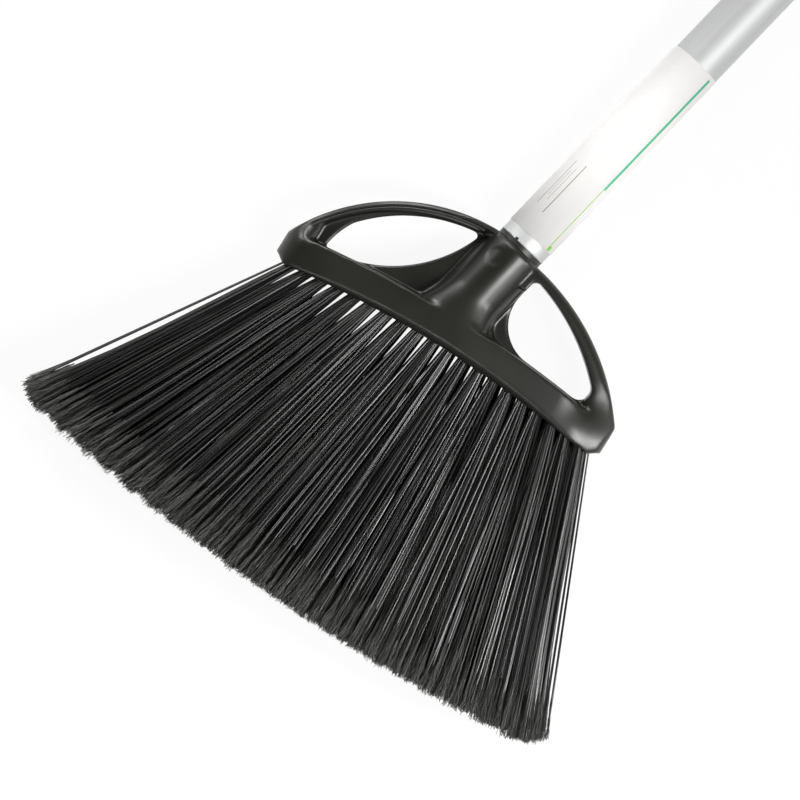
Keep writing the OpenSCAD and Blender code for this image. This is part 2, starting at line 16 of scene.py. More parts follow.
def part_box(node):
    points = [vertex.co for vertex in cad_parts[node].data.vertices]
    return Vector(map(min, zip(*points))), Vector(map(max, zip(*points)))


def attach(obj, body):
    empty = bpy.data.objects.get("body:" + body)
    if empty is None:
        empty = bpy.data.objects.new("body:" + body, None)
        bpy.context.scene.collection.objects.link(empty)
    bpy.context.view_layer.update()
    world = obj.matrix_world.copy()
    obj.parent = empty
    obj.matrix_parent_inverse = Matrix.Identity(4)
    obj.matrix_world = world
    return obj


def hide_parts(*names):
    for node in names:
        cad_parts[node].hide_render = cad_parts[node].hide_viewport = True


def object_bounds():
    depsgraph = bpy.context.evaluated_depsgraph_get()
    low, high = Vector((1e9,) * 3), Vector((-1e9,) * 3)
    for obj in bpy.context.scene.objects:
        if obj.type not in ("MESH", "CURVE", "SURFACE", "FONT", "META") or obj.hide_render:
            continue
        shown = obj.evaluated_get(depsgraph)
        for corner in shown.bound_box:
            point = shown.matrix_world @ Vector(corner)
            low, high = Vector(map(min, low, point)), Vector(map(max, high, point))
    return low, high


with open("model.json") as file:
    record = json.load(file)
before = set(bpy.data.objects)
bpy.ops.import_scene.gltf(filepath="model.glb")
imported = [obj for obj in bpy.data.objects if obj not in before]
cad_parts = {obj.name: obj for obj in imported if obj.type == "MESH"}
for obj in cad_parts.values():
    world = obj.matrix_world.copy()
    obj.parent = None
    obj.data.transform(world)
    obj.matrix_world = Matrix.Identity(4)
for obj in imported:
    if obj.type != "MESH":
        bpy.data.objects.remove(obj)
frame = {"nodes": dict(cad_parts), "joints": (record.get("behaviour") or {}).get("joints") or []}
cad_box = [list(corner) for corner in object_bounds()]
nodes = frame["nodes"]
scene = bpy.context.scene
MM = 0.001
print("CAD box, mm:", np.round(np.array(cad_box) / MM, 1).tolist())

# %% [markdown]
# ## Where the head is
# The head was designed from the middle of the tube's lower end: x across the head, y up the handle, z out of
# the front. The screw joint lies on the handle's axis and the tube's box gives its lower end, so together
# they give that point in the frame. All sizes below are in millimetres from there.

# %% The head's own frame
screw = frame["joints"][0]
tube_low, tube_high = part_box("handle_tube")
head_origin = np.array([screw["pos_m"][0], tube_low.y, screw["pos_m"][2]])
tube_r = (tube_high.x - tube_low.x) / 2 / MM


def from_head(points_mm):
    """Points of the head's frame, in mm, as points of the row's frame, in metres: origin + 0.001 * point."""
    return head_origin + MM * np.asarray(points_mm, float)


print("head origin, m:", np.round(head_origin, 4).tolist(), "tube radius, mm:", round(tube_r, 2))

# %% [markdown]
# ## The camera
# The picture looks straight down on the lying broom, with the handle leaving at the top right. At the head's
# middle one pixel of the 800-pixel picture is 0.481 mm wide. A long lens from 1.5 m keeps the perspective weak,
# and a tilt of two degrees towards the handle gives the picture's slight view of the tube's end.

# %% Camera
PICTURE_PX = 800
PIXEL_MM = 0.481
CAMERA_MM = 1500
TILT = math.radians(-2)
LOOK_AT = (9, -94, 0)
PICTURE_UP = Vector((-0.692, 0.722, 0))

back = Vector((0, -math.sin(TILT), math.cos(TILT)))
right = PICTURE_UP.cross(back).normalized()
up = back.cross(right)
camera = bpy.data.objects.new("camera", bpy.data.cameras.new("camera"))
scene.collection.objects.link(camera)
camera.data.sensor_width = 36
camera.data.lens = camera.data.sensor_width * CAMERA_MM / (PICTURE_PX * PIXEL_MM)
place = Vector(from_head(LOOK_AT)) + back * CAMERA_MM * MM
camera.matrix_world = Matrix.Translation(place) @ Matrix((right, up, back)).transposed().to_4x4()
scene.camera = camera
scene.view_settings.view_transform = "Standard"
print("lens, mm:", round(camera.data.lens, 1), "camera height, m:", round(place.z, 3))

# %% [markdown]
# ## One way to add a node
# Materials are node trees. One small function adds a node, sets its properties and fills its inputs: a plain
# value goes onto the socket and another node's output is linked to it. Colours are written as sRGB hex, the
# way a colour picker shows them, and one function turns them into the linear values that shaders use.

# %% Nodes and colours
def linear(hex_text):
    """sRGB hex to linear RGBA: a channel c becomes c / 12.92 when small, else ((c + 0.055) / 1.055) ** 2.4."""
    c = np.array([int(hex_text[i:i + 2], 16) for i in (1, 3, 5)]) / 255
    c = np.where(c <= 0.04045, c / 12.92, ((c + 0.055) / 1.055) ** 2.4)
    return (*c.tolist(), 1.0)


def add_node(tree, kind, inputs=None, **settings):
    """Add one node to a tree, with its properties, and its inputs as values or as other nodes' outputs."""
    node = tree.nodes.new(kind)
    for name, value in settings.items():
        setattr(node, name, value)
    for name, value in (inputs or {}).items():
        if isinstance(value, bpy.types.NodeSocket):
            tree.links.new(value, node.inputs[name])
        else:
            node.inputs[name].default_value = value
    return node


def new_material(name):
    """An empty node material: its tree and its output's surface socket are filled by the caller."""
    material = bpy.data.materials.new(name)
    material.use_nodes = True
    material.node_tree.nodes.clear()
    return material, material.node_tree


def wear(piece, material):
    """Give a piece one material and nothing else."""
    piece.data.materials.clear()
    piece.data.materials.append(material)


print("black plastic, linear:", np.round(linear("#1c1c1a"), 4).tolist())

# %% [markdown]
# ## The white floor
# The broom lies on a white sweep. A floor that is only painted white turns grey beside the object, so for rays
# from the camera, and for reflections, most of it is white light of strength one. The rest is plain white
# paint, which keeps a pale shadow.

# %% Floor
FLOOR_M = 8
FLOOR_DROP = 0.0002
floor_mesh = bpy.data.meshes.new("floor")
floor_corners = FLOOR_M / 2 * np.array([[-1, -1, 0], [1, -1, 0], [1, 1, 0], [-1, 1, 0]])
floor_corners[:, 2] = cad_box[0][2] - FLOOR_DROP
floor_mesh.from_pydata(floor_corners.tolist(), [], [(0, 1, 2, 3)])
floor = bpy.data.objects.new("floor", floor_mesh)
scene.collection.objects.link(floor)

WHITE_SHARE = 0.92
paper, tree = new_material("white_paper_sweep")
path = add_node(tree, "ShaderNodeLightPath")
seen = add_node(tree, "ShaderNodeMath", {0: path.outputs["Is Camera Ray"], 1: path.outputs["Is Glossy Ray"]},
                operation="MAXIMUM")
seen = add_node(tree, "ShaderNodeMath", {0: seen.outputs[0], 1: path.outputs["Is Transmission Ray"]},
                operation="MAXIMUM")
share = add_node(tree, "ShaderNodeMath", {0: seen.outputs[0], 1: WHITE_SHARE}, operation="MULTIPLY")
paint = add_node(tree, "ShaderNodeBsdfDiffuse", {"Color": linear("#f4f4f4")})
light = add_node(tree, "ShaderNodeEmission", {"Color": linear("#ffffff"), "Strength": 1.0})
mix = add_node(tree, "ShaderNodeMixShader",
               {0: share.outputs[0], 1: paint.outputs[0], 2: light.outputs[0]})
add_node(tree, "ShaderNodeOutputMaterial", {"Surface": mix.outputs[0]})
wear(floor, paper)
print("floor at z, m:", round(floor_corners[0, 2], 4))

# %% [markdown]
# ## Room and lamps
# The world is a dim grey room, lighter towards its walls. One softbox to the right of the camera makes the streak
# on the socket. Two low strips with grids rake across the bristles, so that the filaments glint and the gaps
# between them stay dark, and a third strip lights the left bow's outer band. Two weak boxes draw the light lines
# along the bar's edges. An edge or a filament shows a lamp that stands square to it.

# %% Room and lamps
ROOM_OVERHEAD, ROOM_SIDES, ROOM_EDGE = 0.06, 0.6, 0.7
world = bpy.data.worlds.new("pale_room")
world.use_nodes = True
tree = world.node_tree
tree.nodes.clear()
ray = add_node(tree, "ShaderNodeSeparateXYZ", {0: add_node(tree, "ShaderNodeTexCoord").outputs["Generated"]})
level = add_node(tree, "ShaderNodeMapRange", {"Value": ray.outputs["Z"], "From Min": 0.0, "From Max": ROOM_EDGE,
                                              "To Min": ROOM_SIDES, "To Max": ROOM_OVERHEAD})
room = add_node(tree, "ShaderNodeBackground", {"Color": linear("#ffffff"), "Strength": level.outputs["Result"]})
add_node(tree, "ShaderNodeOutputWorld", {"Surface": room.outputs[0]})
scene.world = world

# name, place it aims at in mm of the head, direction to it, distance in m, width and height in m, spread of its
# honeycomb grid in degrees (180 is an open box), watts
LAMPS = [
    ("softbox_right", (0, -60, 0), (0.55, 0.09, 0.83), 1.4, 0.2, 0.42, 180, 12.5),
    ("strip_right", (40, -215, 0), (0.71, 0.44, 0.55), 0.7, 0.1, 0.34, 44, 0.5),
    ("strip_left", (-70, -150, 0), (-0.80, 0.38, 0.46), 0.7, 0.1, 0.34, 56, 0.2),
    ("strip_bow", (-58, -26, 0), (-0.60, 0.66, 0.45), 0.7, 0.1, 0.34, 40, 0.12),
    ("softbox_low", (0, -60, 0), (0.10, -0.60, 0.79), 1.5, 0.5, 0.14, 180, 2.8),
    ("softbox_high", (0, -60, 0), (-0.42, 0.62, 0.66), 1.5, 0.5, 0.14, 180, 6.0),
]
for name, aim, direction, distance, width, height, spread, watts in LAMPS:
    data = bpy.data.lights.new(name, "AREA")
    data.shape = "RECTANGLE"
    data.size, data.size_y, data.energy = width, height, watts
    data.spread = math.radians(spread)
    lamp = bpy.data.objects.new(name, data)
    way = Vector(direction).normalized()
    lamp.location = Vector(from_head(aim)) + way * distance
    lamp.rotation_euler = way.to_track_quat("Z", "Y").to_euler()
    scene.collection.objects.link(lamp)
    print(name, "at", [round(v, 2) for v in lamp.location])

# %% [markdown]
# ## Meshes from whole arrays
# Every new piece is computed as arrays of points and faces. `foreach_set` hands a whole array to Blender at
# once, which is far quicker than a loop over vertices. A finished piece sits at the origin and rides on the
# body that carries it.

# %% A piece from arrays
def make_piece(name, points, *face_arrays, smooth=True):
    """A mesh object from points (n, 3) in metres and arrays of faces, each (faces, corners)."""
    mesh = bpy.data.meshes.new(name)
    corners = np.concatenate([f.ravel() for f in face_arrays]).astype(np.int32)
    sizes = np.concatenate([np.full(len(f), f.shape[1]) for f in face_arrays])
    starts = np.concatenate([[0], np.cumsum(sizes)[:-1]]).astype(np.int32)
    mesh.vertices.add(len(points))
    mesh.vertices.foreach_set("co", np.asarray(points, np.float32).ravel())
    mesh.loops.add(len(corners))
    mesh.loops.foreach_set("vertex_index", corners)
    mesh.polygons.add(len(starts))
    mesh.polygons.foreach_set("loop_start", starts)
    mesh.polygons.foreach_set("use_smooth", np.full(len(starts), smooth))
    mesh.update(calc_edges=True)
    mesh.validate()
    piece = bpy.data.objects.new(name, mesh)
    scene.collection.objects.link(piece)
    return piece


def dress(piece, body, slot, material, *replaced):
    """Put a finished piece to use: its body, its material and the nodes it stands for. The record slot is not used.
    """
    wear(piece, material)
    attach(piece, body)
    if replaced:
        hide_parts(*replaced)
    return piece


def skin(grid_shape):
    """Quads of a grid of rings and sides, closed round the sides, with its two end faces: rings run along the
    outward right-handed axis, so every face points outwards."""
    rings, sides = grid_shape
    index = np.arange(rings * sides).reshape(rings, sides)
    after = np.roll(index, -1, axis=1)
    quads = np.stack([index[:-1], after[:-1], after[1:], index[1:]], axis=-1).reshape(-1, 4)
    return quads, index[:1, ::-1], index[-1:]


print("helpers ready")

# %% [markdown]
# ## Moulded black plastic
# The block, the cap and the threaded tip are injection-moulded polypropylene, coloured through. The mould's
# fine spark texture leaves a satin skin: deep charcoal where it faces the camera, with broad soft streaks of
# light. Polypropylene has an index of refraction of about 1.49. The grain is really 0.2 mm and too fine to
# show, so it is drawn at 0.9 mm. A slow noise of 30 mm changes the gloss a little, as flow in the mould does.

# %% Satin moulded polypropylene
def moulded_plastic(name, dark, pale, rough_low, rough_high):
    """A satin moulded plastic: base colour and roughness follow a slow noise, the bump follows a fine grain."""
    material, tree = new_material(name)
    where = add_node(tree, "ShaderNodeTexCoord").outputs["Object"]
    flow = add_node(tree, "ShaderNodeTexNoise", {"Vector": where, "Scale": 1 / (30 * MM), "Detail": 3.0})
    grain = add_node(tree, "ShaderNodeTexNoise", {"Vector": where, "Scale": 1 / (0.9 * MM), "Detail": 2.0})
    ramp = add_node(tree, "ShaderNodeValToRGB", {"Fac": flow.outputs["Fac"]})
    ramp.color_ramp.elements[0].color = linear(dark)
    ramp.color_ramp.elements[1].color = linear(pale)
    rough = add_node(tree, "ShaderNodeMapRange", {"Value": flow.outputs["Fac"], "From Min": 0.3, "From Max": 0.7,
                                                  "To Min": rough_low, "To Max": rough_high})
    bump = add_node(tree, "ShaderNodeBump", {"Height": grain.outputs["Fac"], "Strength": 0.12,
                                             "Distance": 0.1 * MM})
    shader = add_node(tree, "ShaderNodeBsdfPrincipled",
                      {"Base Color": ramp.outputs["Color"], "Roughness": rough.outputs["Result"],
                       "IOR": 1.49, "Normal": bump.outputs["Normal"]})
    add_node(tree, "ShaderNodeOutputMaterial", {"Surface": shader.outputs[0]})
    return material


block_plastic = moulded_plastic("satin_moulded_polypropylene", "#161612", "#1c1c17", 0.30, 0.38)
fitting_plastic = moulded_plastic("moulded_black_fitting", "#181817", "#1f1f1d", 0.36, 0.46)
print("plastics:", block_plastic.name, fitting_plastic.name)

# %% [markdown]
# ## The swell at the socket's foot
# The head is one moulding: a slanted, arched bar that holds the tufts, a socket for the handle, and two bows
# that frame the windows. The socket swells smoothly into the bar. A sculptor would pull that swell out by hand.
# Here it is lofted from rings, so that it follows the bar's edge exactly, and it joins a copy of the solid below.

# %% The swell at the socket's foot
BAR_L, BAR_H, BAR_ARCH = 183.2, 16, 7.7
BAR_SLANT = math.radians(11.65)
BAR_MIDDLE = np.array([7.2, -69.3])
BAR_R = (BAR_L ** 2 / 4 + BAR_ARCH ** 2) / (2 * BAR_ARCH)
SOCKET_R = 15.5
BAR_HALF_T, WEB_HALF_T = 17, 1.5


def from_bar(points):
    """Points (..., 2) of the bar's frame, x along its chord, turned by the slant and moved to the head's frame."""
    x, y = points[..., 0], points[..., 1]
    c, s = math.cos(BAR_SLANT), math.sin(BAR_SLANT)
    return BAR_MIDDLE + np.stack([x * c - y * s, x * s + y * c], axis=-1)


bar_centre = from_bar(np.array([0, BAR_ARCH - BAR_R]))


def bar_top(x):
    """Height of the bar's upper edge at x: the upper half of a circle about the bar's centre."""
    return bar_centre[1] + np.sqrt((BAR_R + BAR_H) ** 2 - (x - bar_centre[0]) ** 2)


SWELL_RINGS, SWELL_SIDES = 24, 96
SWELL_H, SWELL_SINK, SWELL_HALF_W = 15, 4, 21
SWELL_UNDER, SWELL_SHY = 0.3, 0.2


def swell():
    """Rings that grow from just under the socket's skin to a rounded oblong: with t from 0 to 1 down the socket,
    the half width follows t to the power 2.2 and the half thickness t to the power 1.4, the superellipse power
    goes from 2 to 4, and the rings lean until the last one follows the bar's upper edge."""
    t = np.linspace(0, 1, SWELL_RINGS)[:, None]
    turn = np.linspace(0, 2 * np.pi, SWELL_SIDES, endpoint=False)[None, :]
    power = 2 / (2 + 2 * t)
    half_x = SOCKET_R - SWELL_UNDER + (SWELL_HALF_W - SOCKET_R + SWELL_UNDER) * t ** 2.2
    half_z = SOCKET_R - SWELL_UNDER + (BAR_HALF_T - SWELL_SHY - SOCKET_R + SWELL_UNDER) * t ** 1.4
    x = half_x * np.sign(np.cos(turn)) * np.abs(np.cos(turn)) ** power
    z = half_z * np.sign(np.sin(turn)) * np.abs(np.sin(turn)) ** power
    y = (1 - t) * (bar_top(0) + SWELL_H) + t * (bar_top(x) - SWELL_SINK)
    return from_head(np.stack([x, y, z], axis=-1).reshape(-1, 3))


foot = make_piece("socket_swell", swell(), *skin((SWELL_RINGS, SWELL_SIDES)))
print("swell:", len(foot.data.vertices), "points")

# %% [markdown]
# ## Softening a solid
# A mould has no sharp edges. A Bevel modifier would stumble over the thousands of loose triangles of a CAD mesh,
# so a copy is merged and a Remesh modifier rebuilds its closed skin on a fine voxel grid. Then each point moves
# towards the mean of its neighbours, and every edge turns over about a millimetre. A weight for each point lets
# chosen places turn more softly than the rest.

# %% Soften a copy of a solid
def smooth_step(share):
    """0 below 0, 1 above 1, and the curve 3 t^2 - 2 t^3 between."""
    share = np.clip(share, 0, 1)
    return share * share * (3 - 2 * share)


def mesh_points(mesh):
    """All points of a mesh as one array (n, 3), in metres."""
    points = np.zeros(len(mesh.vertices) * 3)
    mesh.vertices.foreach_get("co", points)
    return points.reshape(-1, 3)


def relax(mesh, rounds, weight=1.0):
    """Smooth a mesh in whole arrays: each round moves a point half way to the mean of its neighbours, times its
    weight."""
    points = mesh_points(mesh)
    count = len(points)
    edges = np.zeros(len(mesh.edges) * 2, np.int32)
    mesh.edges.foreach_get("vertices", edges)
    ends = np.concatenate([edges[0::2], edges[1::2]])
    others = np.concatenate([edges[1::2], edges[0::2]])
    share = np.broadcast_to(weight, count)
    ends, others = ends[share[ends] > 0], others[share[ends] > 0]
    degree = np.maximum(np.bincount(ends, minlength=count), 1)[:, None]
    for _ in range(rounds):
        mean = np.stack([np.bincount(ends, points[others, i], count) for i in range(3)], axis=-1) / degree
        points += 0.5 * share[:, None] * (mean - points)
    mesh.vertices.foreach_set("co", points.ravel())
    mesh.update()


def near(mesh, middle_mm, radius_mm):
    """A weight for every point of a mesh: 1 at a place of the head, falling smoothly to 0 at the radius."""
    away = np.linalg.norm(mesh_points(mesh) - from_head(middle_mm), axis=1) / (radius_mm * MM)
    return smooth_step(1 - away)


def settle(piece):
    """Make a piece's modifiers part of its mesh."""
    ready = piece.evaluated_get(bpy.context.evaluated_depsgraph_get())
    piece.data, old = bpy.data.meshes.new_from_object(ready), piece.data
    piece.modifiers.clear()
    bpy.data.meshes.remove(old)
    piece.data.name = piece.name


WELD_MM = 0.002


def rebuild(piece, voxel_mm, rounds):
    """Merge a closed piece's double points, give it a new skin on a voxel grid and relax that a little."""
    weld = piece.modifiers.new("weld", "WELD")
    weld.merge_threshold = WELD_MM * MM
    grid = piece.modifiers.new("grid", "REMESH")
    grid.mode = "VOXEL"
    grid.voxel_size = voxel_mm * MM
    settle(piece)
    piece.data.polygons.foreach_set("use_smooth", np.full(len(piece.data.polygons), True))
    relax(piece.data, rounds)


def soften(node, name, voxel_mm, rounds, *extra):
    """A new mesh from a CAD node: its copy is joined with any extra closed shapes and rebuilt, so that every edge
    gets a small radius."""
    piece = bpy.data.objects.new(name, nodes[node].data.copy())
    scene.collection.objects.link(piece)
    if extra:
        with bpy.context.temp_override(active_object=piece, object=piece,
                                       selected_editable_objects=[piece, *extra]):
            bpy.ops.object.join()
    rebuild(piece, voxel_mm, rounds)
    return piece


print("the block's solid has", len(nodes["broom_block"].data.polygons), "faces")

# %% [markdown]
# ## Lip and bead
# The left window has a thin lip inside the bow at its outer end, and a bead runs along the bow above it. Both
# follow circles, so each is a small section carried along an arc. The lip is a closed shape that joins the block's
# new skin. The bead is only three voxels thick and relaxing would flatten it, so it stays a piece of its own.

# %% Lip and bead
def arc_band(name, middle, turns, section, steps=90):
    """A bar bent round a middle point: the section's points are pairs of radius and z, and the angle runs over
    turns, in degrees, with the clock, so that a section listed against the clock has its faces outwards."""
    turn = np.radians(np.linspace(turns[0], turns[1], steps))[:, None]
    r, z = np.asarray(section, float).T
    points = np.stack(np.broadcast_arrays(middle[0] + r * np.cos(turn), middle[1] + r * np.sin(turn), z), axis=-1)
    return make_piece(name, from_head(points.reshape(-1, 3)), *skin((steps, len(r))))


LEFT_BOW_MIDDLE, LEFT_BOW_R = (7.886, -96.916), 96.634
RIGHT_BOW_MIDDLE, RIGHT_BOW_R = (15.324, -117.88), 115.41
LIP_MIDDLE, LIP_R, LIP_W = (-27.3, -62.0), 41, 5
lip = arc_band("window_lip", LIP_MIDDLE, (184, 126), [(LIP_R, -WEB_HALF_T), (LIP_R + LIP_W, -WEB_HALF_T),
                                                      (LIP_R + LIP_W, WEB_HALF_T), (LIP_R, WEB_HALF_T)])
BEAD_R, BEAD_SIDES, BEAD_INSET, BEAD_Z, BEAD_TURNS = 0.75, 12, 3.3, 9.0, (161, 106)
bead_round = BEAD_R * np.exp(2j * np.pi * np.arange(BEAD_SIDES) / BEAD_SIDES)
for name, z in (("bow_bead_front", BEAD_Z), ("bow_bead_back", -BEAD_Z)):
    bead = np.stack([LEFT_BOW_R - BEAD_INSET + bead_round.real, z + bead_round.imag], axis=-1)
    dress(arc_band(name, LEFT_BOW_MIDDLE, BEAD_TURNS, bead), "head", "block", block_plastic)
print("lip:", len(lip.data.polygons), "faces, beads of", 2 * BEAD_R, "mm")

# %% [markdown]
# ## Rounded ends
# On the real head the bar thins out towards its ends, the right end runs into the bow, the lower corners are round
# and the bows slope outwards. This could be sculpted, but a formula gives the same shape on every run: a point is
# pressed in to a limit that depends on its place along the bar and above it.

# %% Press the faces
BAR_END_Z, BOW_Z = 14.6, 10
BLEND_Y = (7, 28)
# where along the bar the rounding starts, and how far the face falls from there to the end
RIGHT_ROUND, LEFT_ROUND = (70, 6.5), (78, 4)
END_EASE = 20
CORNER_X, CORNER_Y = 83, 4.5
BOW_SLOPE_W, BOW_SLOPE_Z = 3.0, 1.5
BOW_EASE, SOCKET_CLEAR = 12, 22


def bar_place(points):
    """Places of the bar's frame for points of the head's frame: along the chord and above it."""
    c, s = math.cos(BAR_SLANT), math.sin(BAR_SLANT)
    away = points[:, :2] - BAR_MIDDLE
    return away @ (c, s), away @ (-s, c)


def press(mesh):
    """Shape the block's faces in whole arrays. Towards both ends no point stays further out than a limit that falls
    off by a parabola, and at the right end also by a smooth step over the heights BLEND_Y, so that the bar runs
    into the bow. The lower corners are lifted to a rounded line, and the bows' outer bands slope outwards."""
    points = (mesh_points(mesh) - head_origin) / MM
    along, above = bar_place(points)
    past = np.abs(along)
    depth = np.abs(points[:, 2])
    blend = (BAR_END_Z - BOW_Z) * smooth_step((above - BLEND_Y[0]) / np.ptp(BLEND_Y))
    for sign, start, fall, lower in ((1, *RIGHT_ROUND, blend), (-1, *LEFT_ROUND, 0)):
        q = np.clip((sign * along - start) / (BAR_L / 2 - start), 0, 1)
        share = smooth_step((sign * along - start + END_EASE / 2) / END_EASE)
        depth -= share * np.maximum(depth - (BAR_END_Z - lower - fall * q ** 2), 0)
    for sign, middle, bow_r in ((-1, LEFT_BOW_MIDDLE, LEFT_BOW_R), (1, RIGHT_BOW_MIDDLE, RIGHT_BOW_R)):
        out = np.hypot(*(points[:, :2] - middle).T) - (bow_r - BOW_SLOPE_W)
        fall = BOW_SLOPE_Z * np.clip(out / BOW_SLOPE_W, 0, 1) * smooth_step((above - BAR_H) / BOW_EASE)
        fall *= smooth_step((sign * points[:, 0] - SOCKET_CLEAR) / BOW_EASE)
        depth -= np.maximum(depth - (BOW_Z - fall), 0) * (fall > 0)
    points[:, 2] = np.sign(points[:, 2]) * depth
    lift = np.maximum(CORNER_Y * smooth_step((past - CORNER_X) / (BAR_L / 2 - CORNER_X)) - above, 0)
    c, s = math.cos(BAR_SLANT), math.sin(BAR_SLANT)
    points[:, :2] += np.where(past > CORNER_X, lift, 0)[:, None] * (-s, c)
    mesh.vertices.foreach_set("co", from_head(points).ravel())
    mesh.update()


print("ends rounded from", RIGHT_ROUND[0], "mm at the right and", LEFT_ROUND[0], "mm at the left")

# %% [markdown]
# ## The block's new skin
# Now the block is made: a copy of the solid is softened with the swell and the lip, pressed, and rebuilt where the
# pressing bunched its faces. Then it is relaxed along the bar's edges and at the places where two forms meet. A
# voxel grid spends as many faces on a plain side as on a curve, so a Decimate modifier merges the flattest.

# %% The moulded block
def along_edge(mesh, height, reach_mm):
    """A weight for every point: 1 on the bar's faces at a height above its lower arc, falling to 0 at the reach."""
    points = (mesh_points(mesh) - head_origin) / MM
    along, above = bar_place(points)
    rise = np.hypot(along, above - BAR_ARCH + BAR_R) - BAR_R
    on_face = (np.abs(points[:, 2]) > FACE_Z) & (np.abs(along) < BAR_L / 2)
    return smooth_step(1 - np.abs(rise - height) / reach_mm) * on_face


def thin_out(piece, most):
    """Merge the flattest faces of a piece until at most this many triangles are left."""
    piece.data.calc_loop_triangles()
    thin = piece.modifiers.new("thin", "DECIMATE")
    thin.ratio = min(1, most / len(piece.data.loop_triangles))
    settle(piece)


BLOCK_VOXEL, BLOCK_ROUNDS, BLOCK_TRIANGLES = 0.5, 3, 190000
BEVEL_H, FACE_Z = 3, 9
bar_end = BAR_L / 2
# places along the bar, above its chord and out of its middle plane, radius in mm, rounds
END_PLACES = [
    (bar_end - 10, 20, 11, 17, 80), (bar_end - 15, 19, 12, 9, 120), (bar_end - 7, 9, 11, 13, 80),
    (-bar_end + 6, 18, 11, 11, 80), (-bar_end + 7, 9, 11, 13, 80),
]
soft_places = [(0, bar_top(0) + 5, 15, 24, 80)]
soft_places += [(*from_bar(np.array([x, y])), z, radius, rounds) for x, y, z, radius, rounds in END_PLACES]

block = soften("broom_block", "moulded_block", BLOCK_VOXEL, BLOCK_ROUNDS, foot, lip)
press(block.data)
rebuild(block, BLOCK_VOXEL, BLOCK_ROUNDS)
relax(block.data, 20, along_edge(block.data, BEVEL_H, 2.5))
relax(block.data, 8, along_edge(block.data, BAR_H, 2))
for side in (-1, 1):
    for x, y, z, radius, rounds in soft_places:
        relax(block.data, rounds, near(block.data, (x, y, side * z), radius))
thin_out(block, BLOCK_TRIANGLES)
dress(block, "head", "block", block_plastic, "broom_block")
print("block:", len(block.data.polygons), "faces")

# %% [markdown]
# ## Filament plastic
# The filaments are drawn from black polypropylene with flat sides and left glossy. A flat side that faces the
# softbox carries a thin line of light, and the next one stays black. Their ends are flagged: split into finer
# fibres that scatter light and look dull and grey. Two numbers travel with every point of the mesh: `tone`, which
# differs from filament to filament, and `flag`, which rises from 0 to 1 along the split end.

# %% Drawn filament polypropylene
filament_plastic, tree = new_material("drawn_filament_polypropylene")
tone = add_node(tree, "ShaderNodeAttribute", attribute_name="tone").outputs["Fac"]
flag = add_node(tree, "ShaderNodeAttribute", attribute_name="flag").outputs["Fac"]
body_colour = add_node(tree, "ShaderNodeValToRGB", {"Fac": tone})
body_colour.color_ramp.elements[0].color = linear("#090908")
body_colour.color_ramp.elements[1].color = linear("#1e1e1c")
split_colour = add_node(tree, "ShaderNodeValToRGB", {"Fac": tone})
split_colour.color_ramp.elements[0].color = linear("#181817")
split_colour.color_ramp.elements[1].color = linear("#60605c")
colour = add_node(tree, "ShaderNodeMixRGB", {"Fac": flag, "Color1": body_colour.outputs["Color"],
                                             "Color2": split_colour.outputs["Color"]})
gloss = add_node(tree, "ShaderNodeMapRange", {"Value": tone, "To Min": 0.28, "To Max": 0.56})
rough = add_node(tree, "ShaderNodeMapRange", {"Value": flag, "To Min": gloss.outputs["Result"], "To Max": 0.6})
shader = add_node(tree, "ShaderNodeBsdfPrincipled",
                  {"Base Color": colour.outputs["Color"], "Roughness": rough.outputs["Result"], "IOR": 1.49})
add_node(tree, "ShaderNodeOutputMaterial", {"Surface": shader.outputs[0]})
print("filament material:", filament_plastic.name)

# %% [markdown]
# ## The tufts
# Twenty columns of three tufts are stapled into the bar. Each tuft holds 36 filaments of 0.9 mm, packed like
# the seeds of a sunflower, and they fan out from the hole towards the trim. First comes where each tuft stands:
# its root on the bar's lower arc, its direction and its length.

# %% Where each tuft stands
COLUMNS, ROWS = 20, 3
ROW_FAN, ROW_LINE, ROW_PITCH, ROW_SPREAD = 0.016, -0.5, 8.6, 1.6
TUFT_MARGIN = 8.6
LEFT_SPLAY, RIGHT_SPLAY = 31.4, 21.7
LEFT_LEN, MIDDLE_LEN, RIGHT_LEN = 138.5, 143.8, 142
half_turn = math.asin((BAR_L / 2 - TUFT_MARGIN) / BAR_R)


def tuft_stand(column):
    """Roots, directions and lengths of a column's three tufts: u is the place along the bar from -1 to 1, and the
    rows fan apart from the place where they line up. The root lies on the bar's arc at the angle u * half_turn,
    the splay grows in step with u and the length is the parabola through the left, middle and right lengths."""
    row = np.arange(1, ROWS + 1)
    u = 2 * (column - 1) / (COLUMNS - 1) - 1
    u = u + ROW_FAN * ((ROWS + 1) / 2 - row) * (u - ROW_LINE)
    root = np.stack([BAR_R * np.sin(u * half_turn), BAR_ARCH - BAR_R + BAR_R * np.cos(u * half_turn)], axis=-1)
    splay = np.radians((RIGHT_SPLAY - LEFT_SPLAY) / 2 + u * (RIGHT_SPLAY + LEFT_SPLAY) / 2)
    zero = from_bar(np.zeros(2))
    along = from_bar(np.stack([np.sin(splay), -np.cos(splay)], axis=-1)) - zero
    across = from_bar(np.stack([np.cos(splay), np.sin(splay)], axis=-1)) - zero
    length = LEFT_LEN * u * (u - 1) / 2 + MIDDLE_LEN * (1 - u * u) + RIGHT_LEN * u * (u + 1) / 2
    return from_bar(root), along, across, length, (row - (ROWS + 1) / 2) * ROW_PITCH


PACK_COUNT, PACK_R = 36, 2.6
GOLDEN_TURN = math.pi * (3 - math.sqrt(5))
reach = np.sqrt((np.arange(PACK_COUNT) + 0.5) / PACK_COUNT)
turn = GOLDEN_TURN * np.arange(PACK_COUNT)
spots = PACK_R * reach[:, None] * np.stack([np.cos(turn), np.sin(turn)], axis=-1)
print(len(spots), "filaments in a tuft,", COLUMNS * ROWS * len(spots), "in all")

